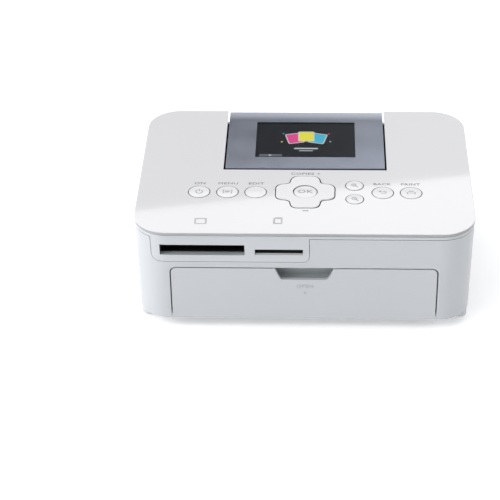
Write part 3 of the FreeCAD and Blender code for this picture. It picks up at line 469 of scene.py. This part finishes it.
link("pad_ring_bead", ring_mesh("pad_ring_bead", PADC[0], PADC[1], 8.0, 0.9, 0.05, Z_KEY - 0.05), "pad", M["key_white"], smooth=True)
for i, a in enumerate((0, 90, 180, 270)):
    ca, sa = math.cos(math.radians(a)), math.sin(math.radians(a))
    tri = [(11.0, -0.9), (11.0, 0.9), (12.3, 0.0)]
    decal("pad_mark_%d" % i, [[[(PADC[0] + x * ca - y * sa, PADC[1] + x * sa + y * ca) for x, y in tri]]], 0, 0, Z_KEY - 0.002, "pad", M["pad_mark"])

# ------------------------------------------------------------------ floors of the card slots


def quad_plate(name, p, mat):
    """A thin plate between four corners in mm, 0.04 mm thick along its lower side."""
    vs = [Vector(q) * MM for q in p]
    n = (vs[1] - vs[0]).cross(vs[3] - vs[0]).normalized() * 0.04 * MM
    me = bpy.data.meshes.new(name)
    me.from_pydata([v for v in vs] + [v + n for v in vs], [], [(3, 2, 1, 0), (4, 5, 6, 7), (0, 1, 5, 4), (1, 2, 6, 5), (2, 3, 7, 6), (3, 0, 4, 7)])
    return link(name, me, "chassis", mat)


quad_plate("slot_floor_wide", [(-74.6, -62.7, 46.205), (-30.7, -62.7, 46.205), (-30.7, -59.65, 46.205), (-74.6, -59.65, 46.205)], M["slot_floor"])
quad_plate("slot_floor_small", [(-25.2, -62.85, 46.66), (-0.45, -62.85, 46.66), (-0.45, -62.0, 47.166), (-25.2, -62.0, 47.166)], M["slot_floor"])
# painted shade: a black sheet over the upper part of the small slot's ramp stands in for the shade under the slot's
# top edge
quad_plate("slot_shade_sheet_small", [(-25.2, -61.95, 47.196), (-0.45, -61.95, 47.196), (-0.45, -60.45, 48.09), (-25.2, -60.45, 48.09)], M["socket_black"])

# ------------------------------------------------------------------ pictograms over the card slots
decal("mark_wide_card", [[rrect(0, 0, 3.2, 2.75, 0.3), rrect(0, -0.1, 2.35, 1.9, 0.15)]], -53.7, -52.0, Z_TOP, "chassis", M["mark_pale"])
decal("mark_small_card", [[[(-2.4, -3.1), (2.4, -3.1), (2.4, 3.1), (-1.2, 3.1), (-2.4, 2.0)], rrect(0.1, -0.3, 1.55, 1.9, 0.15)]],
      -13.6, -51.2, Z_TOP, "chassis", M["mark_pale"])

# ------------------------------------------------------------------ embossed word and arrow on the front door


def on_front(me, x, zc, y_at, body, name, mat):
    for v in me.vertices:
        X, Y, Z = v.co
        v.co = Vector((X + x * MM, y_at * MM - Z, Y + zc * MM))
    return link(name, me, body, M[mat])


def front_y(zc):
    return -(62.4 + (zc - 5.2) * (63.15 - 62.4) / (56.8 - 5.2))


on_front(text_mesh("word_open", "OPEN", 3.0, 0.16, bold=0.02, spacing=1.06, width=1.12), 0.7, 26.7, front_y(26.7) + 0.03, "front_door", "word_open", "emboss")
on_front(loops_mesh("mark_open_arrow", [[(-0.9, 0.9), (0.9, 0.9), (0.0, -1.0)]], 0.16), 0.7, 22.2, front_y(22.2) + 0.03, "front_door", "mark_open_arrow", "emboss")

# ------------------------------------------------------------------ picture on the display
zd = 59.2


def on_screen(name, shapes, mat, lift=0.0):
    return decal(name, shapes, 0, 0, zd + 0.002 + lift, "screen_panel", M[mat], thick=0.008)


def tilt_rect(cx, cy, hx, hy, r, deg):
    c, s = math.cos(math.radians(deg)), math.sin(math.radians(deg))
    return [(cx + (x - cx) * c - (y - cy) * s, cy + (x - cx) * s + (y - cy) * c) for x, y in rrect(cx, cy, hx, hy, r)]


CARDS = [("glow_magenta", -6.0, 34.0, 13, 0.0), ("glow_cyan", 6.8, 34.0, -13, 0.012), ("glow_yellow", 0.4, 36.0, 0, 0.024)]
for i, (mt, cx, cy, dg_, up_) in enumerate(CARDS):
    on_screen("card_%d" % i, [[tilt_rect(cx, cy, 4.6, 5.4, 1.1, dg_), tilt_rect(cx, cy, 4.0, 4.8, 0.8, dg_)]], "glow_white", up_)
    on_screen("card_fill_%d" % i, [[tilt_rect(cx, cy, 3.98, 4.78, 0.8, dg_)]], mt, up_)
for i, (mt, cx, cy) in enumerate((("glow_yellow", -13.2, 30.2), ("glow_white", 13.8, 30.6), ("glow_magenta", 13.0, 39.0), ("glow_cyan", -12.4, 39.2))):
    on_screen("card_dot_%d" % i, [[circle(cx, cy, 0.55, 16)]], mt)
on_screen("screen_line", [[bar(-6.2, 23.0, 6.9, 23.0, 1.3)], [bar(-3.4, 20.6, 4.2, 20.6, 0.7)]], "glow_white")
on_screen("screen_bar", [[rrect(-19.1, 15.7, 6.3, 1.25, 0.4)]], "glow_grey")
on_screen("screen_play", [[[(-20.0, 14.9), (-18.2, 15.7), (-20.0, 16.5)]]], "glow_white", 0.009)

# ------------------------------------------------------------------ floor and light


def stage_mesh(name, verts, faces, mat):
    me = bpy.data.meshes.new(name)
    me.from_pydata(verts, [], faces)
    o = bpy.data.objects.new(name, me)
    scn.collection.objects.link(o)
    assign(o, mat)
    return o


fl = G("floor_pale")
fl.l(fl.ramp(fl.noise(3.0, 3.0), 0.3, 0.7, (0.93, 0.93, 0.935), (0.95, 0.95, 0.955)), fl.p.inputs["Base Color"])
fl.l(fl.rng(fl.noise(30.0, 3.0), 0.3, 0.7, 0.6, 0.7), fl.p.inputs["Roughness"])
fl.p.inputs["Specular IOR Level"].default_value = 0.2
fl.p.inputs["Emission Color"].default_value = (1, 1, 1, 1)
fl.p.inputs["Emission Strength"].default_value = 0.26
stage_mesh("floor", [(-4, -4, 0), (4, -4, 0), (4, 4, 0), (-4, 4, 0)], [(0, 1, 2, 3)], fl.mat)


def area(name, loc, target, sx, sy, power, col=(1, 1, 1), roll=0.0):
    d = bpy.data.lights.new(name, "AREA")
    d.shape = "RECTANGLE"
    d.size, d.size_y = sx, sy
    d.energy = power
    d.color = col
    o = bpy.data.objects.new(name, d)
    scn.collection.objects.link(o)
    q = (Vector(target) - Vector(loc)).to_track_quat("-Z", "Y")
    o.matrix_world = Matrix.Translation(Vector(loc)) @ q.to_matrix().to_4x4() @ Matrix.Rotation(roll, 4, "Z")
    return o


# soft box behind: its lower edge is the bright boundary that shows across the plate
P1, P2 = Vector((-0.3444, 2.0, 1.3829)), Vector((0.2929, 2.0, 1.2979))
e = (P2 - P1).normalized()
up = Vector((0, -0.35, 1.0))
up = (up - up.dot(e) * e).normalized()
SX, SY = 3.2, 1.3
mid = (P1 + P2) / 2
cen = mid + up * (SY / 2)
nrm = e.cross(up)          # points to +Y or -Y
if nrm.y > 0:
    nrm = -nrm
bd = bpy.data.lights.new("box_back", "AREA")
bd.shape = "RECTANGLE"
bd.size, bd.size_y = SX, SY
bd.energy = 30.5
bo = bpy.data.objects.new("box_back", bd)
scn.collection.objects.link(bo)
zc = -nrm
xc = e
yc = zc.cross(xc)
bo.matrix_world = Matrix.Translation(cen) @ Matrix((xc, yc, zc)).transposed().to_4x4()

area("box_left", (-1.6, -0.6, 0.9), (0, 0, 0.03), 1.2, 1.2, 19.0)
area("box_front_left", (-1.3, -1.7, 0.7), (0, 0, 0.03), 0.9, 0.9, 4.8)

w = bpy.data.worlds.new("studio")
scn.world = w
w.use_nodes = True
t = w.node_tree
t.nodes.clear()
wo = t.nodes.new("ShaderNodeOutputWorld")
bg = t.nodes.new("ShaderNodeBackground")
tc = t.nodes.new("ShaderNodeTexCoord")
sep = t.nodes.new("ShaderNodeSeparateXYZ")
t.links.new(tc.outputs["Generated"], sep.inputs[0])


def wmap(sock, a, b, c, d):
    r = t.nodes.new("ShaderNodeMapRange")
    for i, v in enumerate((a, b, c, d)):
        r.inputs[i + 1].default_value = v
    t.links.new(sock, r.inputs[0])
    return r.outputs[0]


def wmath(op, a, b):
    r = t.nodes.new("ShaderNodeMath")
    r.operation = op
    t.links.new(a, r.inputs[0])
    t.links.new(b, r.inputs[1])
    return r.outputs[0]


# pale low down, dim at mid height, and a broad bright part high up at the front left
rp = t.nodes.new("ShaderNodeValToRGB")
t.links.new(sep.outputs["Z"], rp.inputs[0])
els = rp.color_ramp.elements
els[0].position, els[0].color = 0.0, (0.62, 0.62, 0.63, 1)
els[1].position, els[1].color = 1.0, (0.30, 0.30, 0.30, 1)
for pos, v in ((0.14, 0.58), (0.24, 0.33), (0.36, 0.27), (0.50, 0.27)):
    k = els.new(pos)
    k.color = (v, v, v * 1.01, 1)
high = wmap(sep.outputs["Z"], 0.67, 0.73, 0.0, 1.0)
frontal = wmap(sep.outputs["Y"], -0.15, 0.15, 1.0, 0.0)
left = wmap(sep.outputs["X"], -0.5, 0.5, 1.0, 0.0)
peak = wmap(wmath("MULTIPLY", wmath("MULTIPLY", high, frontal), left), 0.0, 1.0, 0.0, 1.8)
back = wmap(sep.outputs["Y"], -0.15, 0.15, 0.0, 1.0)
low_back = wmap(sep.outputs["Z"], 0.34, 0.46, 1.1, 0.0)
mid_back = wmap(sep.outputs["X"], -0.065, 0.055, -0.06, 0.48)
mid_band = wmap(sep.outputs["Z"], 0.52, 0.66, 1.0, 0.0)
extra = wmath("MULTIPLY", back, wmath("ADD", low_back, wmath("MULTIPLY", mid_back, mid_band)))
mix = wmath("ADD", wmath("ADD", rp.outputs[0], extra), peak)
t.links.new(mix, bg.inputs[1])
bg.inputs[0].default_value = (1.0, 1.0, 1.0, 1)
t.links.new(bg.outputs[0], wo.inputs[0])
